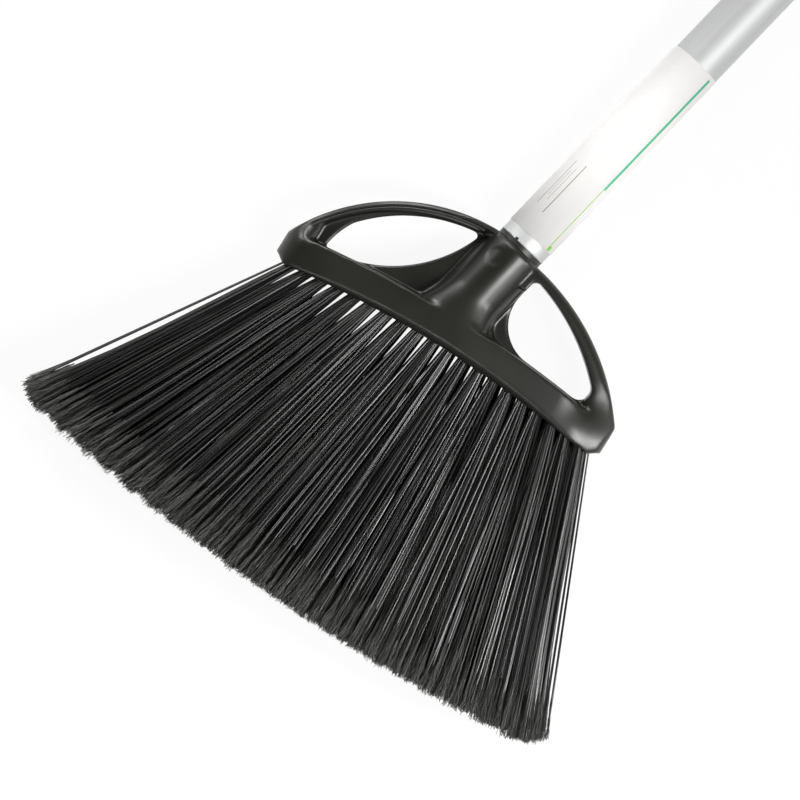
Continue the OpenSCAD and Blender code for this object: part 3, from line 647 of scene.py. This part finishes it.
# %% [markdown]
# ## Filaments as tubes
# Particle hair would lose its shape in an export, so each filament is a slim tube along a path, and all the tubes
# of a column are computed together: a path is root + s * (tip - root) + a slight bend, for s from 0 to 1. At the
# two ends of the bar the outermost filaments run straight while the others draw in, which leaves narrow slits.

# %% Tubes along many paths
def tubes(paths, radii, roll, sides):
    """Flat-sided tubes along many paths at once: paths is (tubes, rings, 3), radii and roll are (tubes, rings). A
    ring's points are path + radius * (cos a * first + sin a * second), where a counts the sides from the roll,
    first is square to the path and to z, and second is square to both, so that the faces point outwards."""
    way = np.gradient(paths, axis=1)
    way /= np.linalg.norm(way, axis=-1, keepdims=True)
    first = np.cross(way, [0, 0, 1])
    first /= np.linalg.norm(first, axis=-1, keepdims=True)
    second = np.cross(way, first)
    a = roll[:, :, None, None] + 2 * np.pi * np.arange(sides)[:, None] / sides
    spokes = np.cos(a) * first[:, :, None] + np.sin(a) * second[:, :, None]
    points = paths[:, :, None] + radii[:, :, None, None] * spokes
    index = np.arange(points[..., 0].size).reshape(points.shape[:3])
    after = np.roll(index, -1, axis=2)
    quads = np.stack([index[:, :-1], after[:, :-1], after[:, 1:], index[:, 1:]], axis=-1).reshape(-1, 4)
    return points, quads, index[:, 0, ::-1], index[:, -1]


FILAMENT_R, FIBRE_R = 0.43, 0.23
FILAMENT_SIDES, FIBRE_SIDES = 6, 3
STATIONS = np.array([0, 0.03, 0.08, 0.16, 0.3, 0.5, 0.7, 0.86, 1.0])
TIP_SPREAD, DEPTH_SPREAD, TUFT_DOME = 4.0, 2.05, 1.2
TIP_SCATTER, END_SCATTER_MM, STRAY_MM, STRAY_Z_MM, BEND_MM = 0.1, 0.5, 1.6, 0.5, 1.1
EDGE_TIDY = 0.75
FAN_POWER, RIGHT_FAN_POWER = 0.8, 0.6
FLAG_MM, FIBRES, FIBRE_RINGS = 19, 6, 7
EDGE_HOLD, EDGE_WAIST, STRANDS, STRAND_MM = 0.45, 0.4, 2, 4.0
ROOT_MM = 3


def filament_paths(column, rng):
    """Paths of a column's filaments, in the head's frame: a station is root + run * along + side * across. The run
    goes from inside the hole to the filament's end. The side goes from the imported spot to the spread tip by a
    power of the share of the run, plus a stray that grows with that share and a slight bend between."""
    root, along, across, length, row_z = tuft_stand(column)
    n = len(spots)
    tips = spots[None] * (TIP_SPREAD, DEPTH_SPREAD) * (1 + TIP_SCATTER * rng.standard_normal((ROWS, n, 1)))
    u = 2 * (column - 1) / (COLUMNS - 1) - 1
    tidy = 1 - EDGE_TIDY * abs(u) ** 12
    stray = (STRAY_MM * tidy, STRAY_Z_MM) * rng.standard_normal((ROWS, n, 2))
    ends = length[:, None] - TUFT_DOME * reach[None] ** 2 + END_SCATTER_MM * rng.standard_normal((ROWS, n))
    bend = BEND_MM * tidy * rng.standard_normal((ROWS, n, 1, 2))
    s = STATIONS[None, None, :]
    run = -ROOT_MM + s * (ends + ROOT_MM)[..., None]
    grow = np.clip(run / ends[..., None], 0, 1)[..., None]
    opened = grow ** (FAN_POWER + (RIGHT_FAN_POWER - FAN_POWER) * max(u, 0))
    side = (spots[None, :, None] * (1 - opened) + tips[:, :, None] * opened + stray[:, :, None] * grow
            + bend * np.sin(np.pi * grow) * grow)
    at_edge = abs(u) > 0.99
    hold = EDGE_HOLD * abs(u) ** 8 + EDGE_WAIST * at_edge * np.sin(np.pi * grow[..., 0])
    side[..., 0] *= np.where(side[..., 0] * u > 0, 1 - hold, 1)
    outermost = np.argsort(np.argsort(-spots[:, 0] * u)) < STRANDS
    strand = np.sign(u) * (PACK_R + (STRAND_MM + 0.5 * stray[..., :1]) * grow[..., 0])
    side[..., 0] = np.where(at_edge & outermost[None, :, None], strand, side[..., 0])
    flat = (root[:, None, None] + along[:, None, None] * run[..., None]
            + across[:, None, None] * side[..., :1])
    z = row_z[:, None, None] * (1 + (ROW_SPREAD - 1) * grow[..., 0]) + side[..., 1]
    paths = np.concatenate([flat, z[..., None]], axis=-1).reshape(ROWS * n, s.shape[-1], 3)
    return paths, run.reshape(ROWS * n, -1), ends.reshape(-1)


print("a filament has", len(STATIONS) * FILAMENT_SIDES, "points and a fibre", FIBRE_RINGS * FIBRE_SIDES)

# %% [markdown]
# ## Columns with split ends
# At the factory the trimmed ends are beaten until they split. Here each filament thins out over its last 19 mm,
# and six finer fibres fan and curl round it. Fibres are repeated thousands of times, so each has only three sides.
# Every column draws its random numbers from its own seed, so the broom comes out the same on every run.

# %% Fibres of the split ends
# how far past the flag's start a fibre may begin, the range of that place and the scatter of its end, in mm
SPLIT_LATE, SPLIT_RANGE, SPLIT_END = 3, 7, 0.6
FIBRE_OFF, FIBRE_FAN, FIBRE_CURL, FIBRE_WAVES = 0.6, 1.7, 1.1, 1.6
fibre_v = np.linspace(0, 1, FIBRE_RINGS)


def split_fibres(paths, ends, rng):
    """Paths of the fibres round every filament's end: spine + fan * out + curl * over. With v from 0 to 1 the spine
    runs straight from the split to the end, the fan opens with v to the power 1.5 in the direction out, and the
    curl is a sine wave that grows with v in the direction over, square to out."""
    count, v = len(paths), fibre_v[None, None, :]
    start = 1 - (FLAG_MM - SPLIT_LATE + SPLIT_RANGE * rng.random((count, FIBRES, 1))) / ends[:, None, None]
    stretch = 1 + SPLIT_END * rng.standard_normal((count, FIBRES, 1)) / ends[:, None, None]
    s = start + v * (stretch - start)
    low, high = paths[:, None, 0], paths[:, None, -1]
    spine = low[:, :, None] + (high - low)[:, :, None] * s[..., None]
    around = 2 * np.pi * rng.random((count, FIBRES, 1))
    fan = FIBRE_OFF * FILAMENT_R + FIBRE_FAN * rng.random((count, FIBRES, 1)) * v ** 1.5
    curl = FIBRE_CURL * v * np.sin(2 * np.pi * (FIBRE_WAVES * v + rng.random((count, FIBRES, 1))))
    way = (high - low) / np.linalg.norm(high - low, axis=-1, keepdims=True)
    first = np.cross(way, [0, 0, 1])
    second = np.cross(way, first)
    out = np.cos(around)[..., None] * first[:, :, None] + np.sin(around)[..., None] * second[:, :, None]
    over = np.cos(around)[..., None] * second[:, :, None] - np.sin(around)[..., None] * first[:, :, None]
    return (spine + fan[..., None] * out + curl[..., None] * over).reshape(-1, FIBRE_RINGS, 3)


print("fibres of a column:", ROWS * PACK_COUNT * FIBRES)

# %% Build the columns
SEED = 20
FLOOR_GAP = 0.3
FLAG_TAPER, FIBRE_TAPER, TWIST = 0.75, 0.35, 0.35
FIBRE_FLAG = 0.55
floor_z = (cad_box[0][2] - head_origin[2]) / MM + FLOOR_GAP
triangles = 0
for column in range(1, COLUMNS + 1):
    rng = np.random.default_rng(SEED + column)
    paths, run, ends = filament_paths(column, rng)
    count = len(paths)
    flag = np.clip((run - (ends[:, None] - FLAG_MM)) / FLAG_MM, 0, 1)
    radii = FILAMENT_R * (1 - FLAG_TAPER * flag)
    tone = np.broadcast_to(rng.random((count, 1)), flag.shape)
    roll = 2 * np.pi * rng.random((count, 1)) + TWIST * rng.standard_normal((count, 1)) * run / ends[:, None]
    core, core_quads, core_low, core_high = tubes(paths, radii, roll, FILAMENT_SIDES)

    fibres = split_fibres(paths, ends, rng)
    grid = fibres.shape[:2]
    fibre_r = np.broadcast_to(FIBRE_R * (1 - FIBRE_TAPER * fibre_v), grid)
    hair, hair_quads, hair_low, hair_high = tubes(fibres, fibre_r, np.zeros(grid), FIBRE_SIDES)

    points = np.concatenate([core.reshape(-1, 3), hair.reshape(-1, 3)])
    points[:, 2] = np.maximum(points[:, 2], floor_z)
    shift = core[..., 0].size
    piece = make_piece(f"bristle_column_{column:02d}", from_head(points), core_quads, core_low, core_high,
                       hair_quads + shift, hair_low + shift, hair_high + shift, smooth=False)
    hair_flag = np.broadcast_to(FIBRE_FLAG + (1 - FIBRE_FLAG) * fibre_v, grid)
    hair_tone = np.broadcast_to(rng.random((len(fibres), 1)), grid)
    for name, on_core, on_hair in (("flag", flag, hair_flag), ("tone", tone, hair_tone)):
        values = np.concatenate([np.repeat(on_core.ravel(), FILAMENT_SIDES),
                                 np.repeat(on_hair.ravel(), FIBRE_SIDES)])
        piece.data.attributes.new(name, "FLOAT", "POINT").data.foreach_set("value", values.astype(np.float32))
    dress(piece, "head", "filament", filament_plastic, f"tuft_column_{column:02d}")
    piece.data.calc_loop_triangles()
    triangles += len(piece.data.loop_triangles)
print("bristles:", triangles, "triangles")

# %% [markdown]
# ## The aluminium tube
# The handle is a drawn and anodised aluminium tube. Drawing leaves fine lines along it, and anodising a soft
# silver skin without mirror shine, so the light lies on it as broad soft bands. The frame's tube already has the
# right shape, and a slim lip rounds off its lower edge. Real drawing lines are too fine to show, so the noise that
# stands for them is 0.5 mm across and stretched to 80 mm along the handle.

# %% Drawn anodised aluminium
aluminium, tree = new_material("drawn_anodised_aluminium")
where = add_node(tree, "ShaderNodeTexCoord").outputs["Object"]
lines = add_node(tree, "ShaderNodeMapping",
                 {"Vector": where, "Scale": (1 / (0.5 * MM), 1 / (80 * MM), 1 / (0.5 * MM))})
draw = add_node(tree, "ShaderNodeTexNoise", {"Vector": lines.outputs["Vector"], "Scale": 1.0, "Detail": 3.0})
silver = add_node(tree, "ShaderNodeValToRGB", {"Fac": draw.outputs["Fac"]})
silver.color_ramp.elements[0].color = linear("#c6c7c6")
silver.color_ramp.elements[1].color = linear("#dcdddd")
rough = add_node(tree, "ShaderNodeMapRange", {"Value": draw.outputs["Fac"], "To Min": 0.58, "To Max": 0.68})
bump = add_node(tree, "ShaderNodeBump", {"Height": draw.outputs["Fac"], "Strength": 0.05, "Distance": 0.05 * MM})
shader = add_node(tree, "ShaderNodeBsdfPrincipled",
                  {"Base Color": silver.outputs["Color"], "Roughness": rough.outputs["Result"], "Metallic": 1.0,
                   "Normal": bump.outputs["Normal"]})
add_node(tree, "ShaderNodeOutputMaterial", {"Surface": shader.outputs[0]})
wear(nodes["handle_tube"], aluminium)

LIP_WIRE_R, LIP_STEPS, LIP_SIDES, LIP_INSET = 0.4, 120, 8, 0.06
NOTCH_TURN, NOTCH_HALF = -20, 7


def tube_lip():
    """A slim round lip on the tube's lower edge, where the head's frame starts: a circle of LIP_WIRE_R carried
    round the handle's axis, with a gap where the key notch is cut."""
    turn = np.radians(np.linspace(NOTCH_TURN + NOTCH_HALF, NOTCH_TURN + 360 - NOTCH_HALF, LIP_STEPS))[:, None]
    ring = 2 * np.pi * np.arange(LIP_SIDES)[None] / LIP_SIDES
    r = tube_r - LIP_INSET + LIP_WIRE_R * np.cos(ring)
    y = LIP_WIRE_R * (1 - np.sin(ring))
    points = np.stack(np.broadcast_arrays(r * np.sin(turn), y, r * np.cos(turn)), axis=-1)
    return from_head(points.reshape(-1, 3))


dress(make_piece("tube_lip", tube_lip(), *skin((LIP_STEPS, LIP_SIDES))), "handle", "tube", aluminium)
print("tube:", aluminium.name, "with a lip of", 2 * LIP_WIRE_R, "mm")

# %% [markdown]
# ## The sleeve round the tube
# A strip of coated white card is wrapped once round the tube, and its edge lies over its own start. The solid is
# a closed ring, so a new surface shows the lap: the strip's radius is constant and rises by one card's thickness
# just before the lap. Its UV map is in millimetres: round the tube, and along it.

# %% The wrapped card
sleeve_low, sleeve_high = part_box("label_sleeve")
CARD_T, CARD_GAP = 0.3, 0.05
LAP_EDGE, LAP_TURN, RISE_TURN = math.radians(46), math.radians(40), math.radians(14)
CARD_STEPS = 200
card_start = LAP_EDGE - LAP_TURN
card_turn = 2 * math.pi + LAP_TURN


def wrapped_card():
    """A strip round the handle's axis: the angle from the front is start + turn, and the radius is the tube's plus
    a card's thickness times a smooth step at the place where the strip climbs onto its own start."""
    turn = np.linspace(0, card_turn, CARD_STEPS)
    climb = smooth_step((turn - (2 * math.pi - RISE_TURN)) / RISE_TURN)
    inner = tube_r + CARD_GAP + (CARD_T + CARD_GAP) * climb
    loop_turn = np.concatenate([turn, turn[::-1]])
    loop_r = np.concatenate([inner, (inner + CARD_T)[::-1]])
    angle = card_start + loop_turn
    y = np.array([sleeve_low.y, sleeve_high.y])[:, None] / MM - head_origin[1] / MM
    x, z = loop_r * np.sin(angle), loop_r * np.cos(angle)
    points = np.stack(np.broadcast_arrays(x[None], y, z[None]), axis=-1)
    return from_head(points.reshape(-1, 3)), loop_turn


card_points, card_turns = wrapped_card()
n = 2 * CARD_STEPS
card_quads, *_ = skin((2, n))
half = np.arange(CARD_STEPS - 1)
rim = np.stack([half, half + 1, n - 2 - half, n - 1 - half], axis=-1)
sleeve = make_piece("wrapped_sleeve", card_points, card_quads, rim[:, ::-1], rim + n)
uv = sleeve.data.uv_layers.new(name="print")
corner = np.zeros(len(sleeve.data.loops), np.int32)
sleeve.data.loops.foreach_get("vertex_index", corner)
arc_mm = np.tile(card_turns * tube_r, 2)
long_mm = np.repeat([0, (sleeve_high.y - sleeve_low.y) / MM], n)
uv.data.foreach_set("uv", np.stack([arc_mm[corner], long_mm[corner]], axis=-1).astype(np.float32).ravel())
print("sleeve:", len(sleeve.data.polygons), "faces")

# %% [markdown]
# ## Coated card
# Coated card is smooth and softly white, without a clear reflection. Its print is plain: a green and a lime rule
# beside the lap, a small lime corner mark and a few grey hairlines. A picture could carry them, but on a UV map in
# millimetres two Compare nodes mark a stripe of any width and length. Paper fibre is too fine to show, so it is
# drawn at 1.5 mm.

# %% Coated white card
card, tree = new_material("coated_white_card")
print_map = add_node(tree, "ShaderNodeUVMap", uv_map="print")
flat = add_node(tree, "ShaderNodeSeparateXYZ", {"Vector": print_map.outputs[0]})
arc, long = flat.outputs["X"], flat.outputs["Y"]
lap_mm = LAP_TURN * tube_r
where = add_node(tree, "ShaderNodeTexCoord").outputs["Object"]
fibre = add_node(tree, "ShaderNodeTexNoise", {"Vector": where, "Scale": 1 / (1.5 * MM), "Detail": 3.0})
surface = add_node(tree, "ShaderNodeValToRGB", {"Fac": fibre.outputs["Fac"]})
surface.color_ramp.elements[0].color = linear("#f3f1ef")
surface.color_ramp.elements[1].color = linear("#faf8f6")
colour = surface.outputs["Color"]
# middle of the rule round the tube, half its width, where it starts and ends along the sleeve, colour
RULES = [
    (lap_mm + 1.0, 1.0, 40, 112, "#52c294"), (lap_mm + 0.5, 0.5, 2, 40, "#a9dc5a"),
    (lap_mm + 1.3, 1.3, 0.5, 3.2, "#8fe03a"),
    (68.6, 0.15, 14, 41, "#a4a4a2"), (70.2, 0.12, 20, 36, "#b4b4b2"), (71.8, 0.12, 18, 38, "#b4b4b2"),
    (74.6, 0.2, 12, 42, "#8e8e8c"),
]
for middle, half_w, low, high, ink in RULES:
    across = add_node(tree, "ShaderNodeMath", {0: arc, 1: middle, 2: half_w}, operation="COMPARE")
    span = add_node(tree, "ShaderNodeMath", {0: long, 1: (low + high) / 2, 2: (high - low) / 2},
                    operation="COMPARE")
    on = add_node(tree, "ShaderNodeMath", {0: across.outputs[0], 1: span.outputs[0]}, operation="MULTIPLY")
    colour = add_node(tree, "ShaderNodeMixRGB", {"Fac": on.outputs[0], "Color1": colour,
                                                 "Color2": linear(ink)}).outputs["Color"]
bump = add_node(tree, "ShaderNodeBump", {"Height": fibre.outputs["Fac"], "Strength": 0.06, "Distance": 0.05 * MM})
shader = add_node(tree, "ShaderNodeBsdfPrincipled", {"Base Color": colour, "Roughness": 0.6, "IOR": 1.5,
                                                     "Normal": bump.outputs["Normal"]})
add_node(tree, "ShaderNodeOutputMaterial", {"Surface": shader.outputs[0]})
dress(sleeve, "handle", "label", card, "label_sleeve")
print("card print rules:", len(RULES))

# %% [markdown]
# ## Cap, threaded tip and anchor wires
# The hanging cap is moulded like the block, so a copy of its solid is softened the same way. The threaded tip
# shows only as the thin black ring between tube and socket, and keeps its solid. The anchor wires are flat drawn
# steel at the bottom of the tuft holes: a satin metal with a fine, uneven grain.

# %% Small pieces
CAP_VOXEL, CAP_ROUNDS = 0.5, 4
cap = soften("hang_cap", "soft_hang_cap", CAP_VOXEL, CAP_ROUNDS)
dress(cap, "handle", "fitting", fitting_plastic, "hang_cap")
wear(nodes["threaded_tip"], fitting_plastic)

wire, tree = new_material("drawn_steel_wire")
where = add_node(tree, "ShaderNodeTexCoord").outputs["Object"]
grain = add_node(tree, "ShaderNodeTexNoise", {"Vector": where, "Scale": 1 / (0.4 * MM), "Detail": 2.0})
steel = add_node(tree, "ShaderNodeValToRGB", {"Fac": grain.outputs["Fac"]})
steel.color_ramp.elements[0].color = linear("#9b9ea0")
steel.color_ramp.elements[1].color = linear("#b4b7b9")
shader = add_node(tree, "ShaderNodeBsdfPrincipled", {"Base Color": steel.outputs["Color"], "Metallic": 1.0,
                                                     "Roughness": 0.35})
add_node(tree, "ShaderNodeOutputMaterial", {"Surface": shader.outputs[0]})
wear(nodes["tuft_anchors"], wire)
print("cap:", len(cap.data.polygons), "faces")
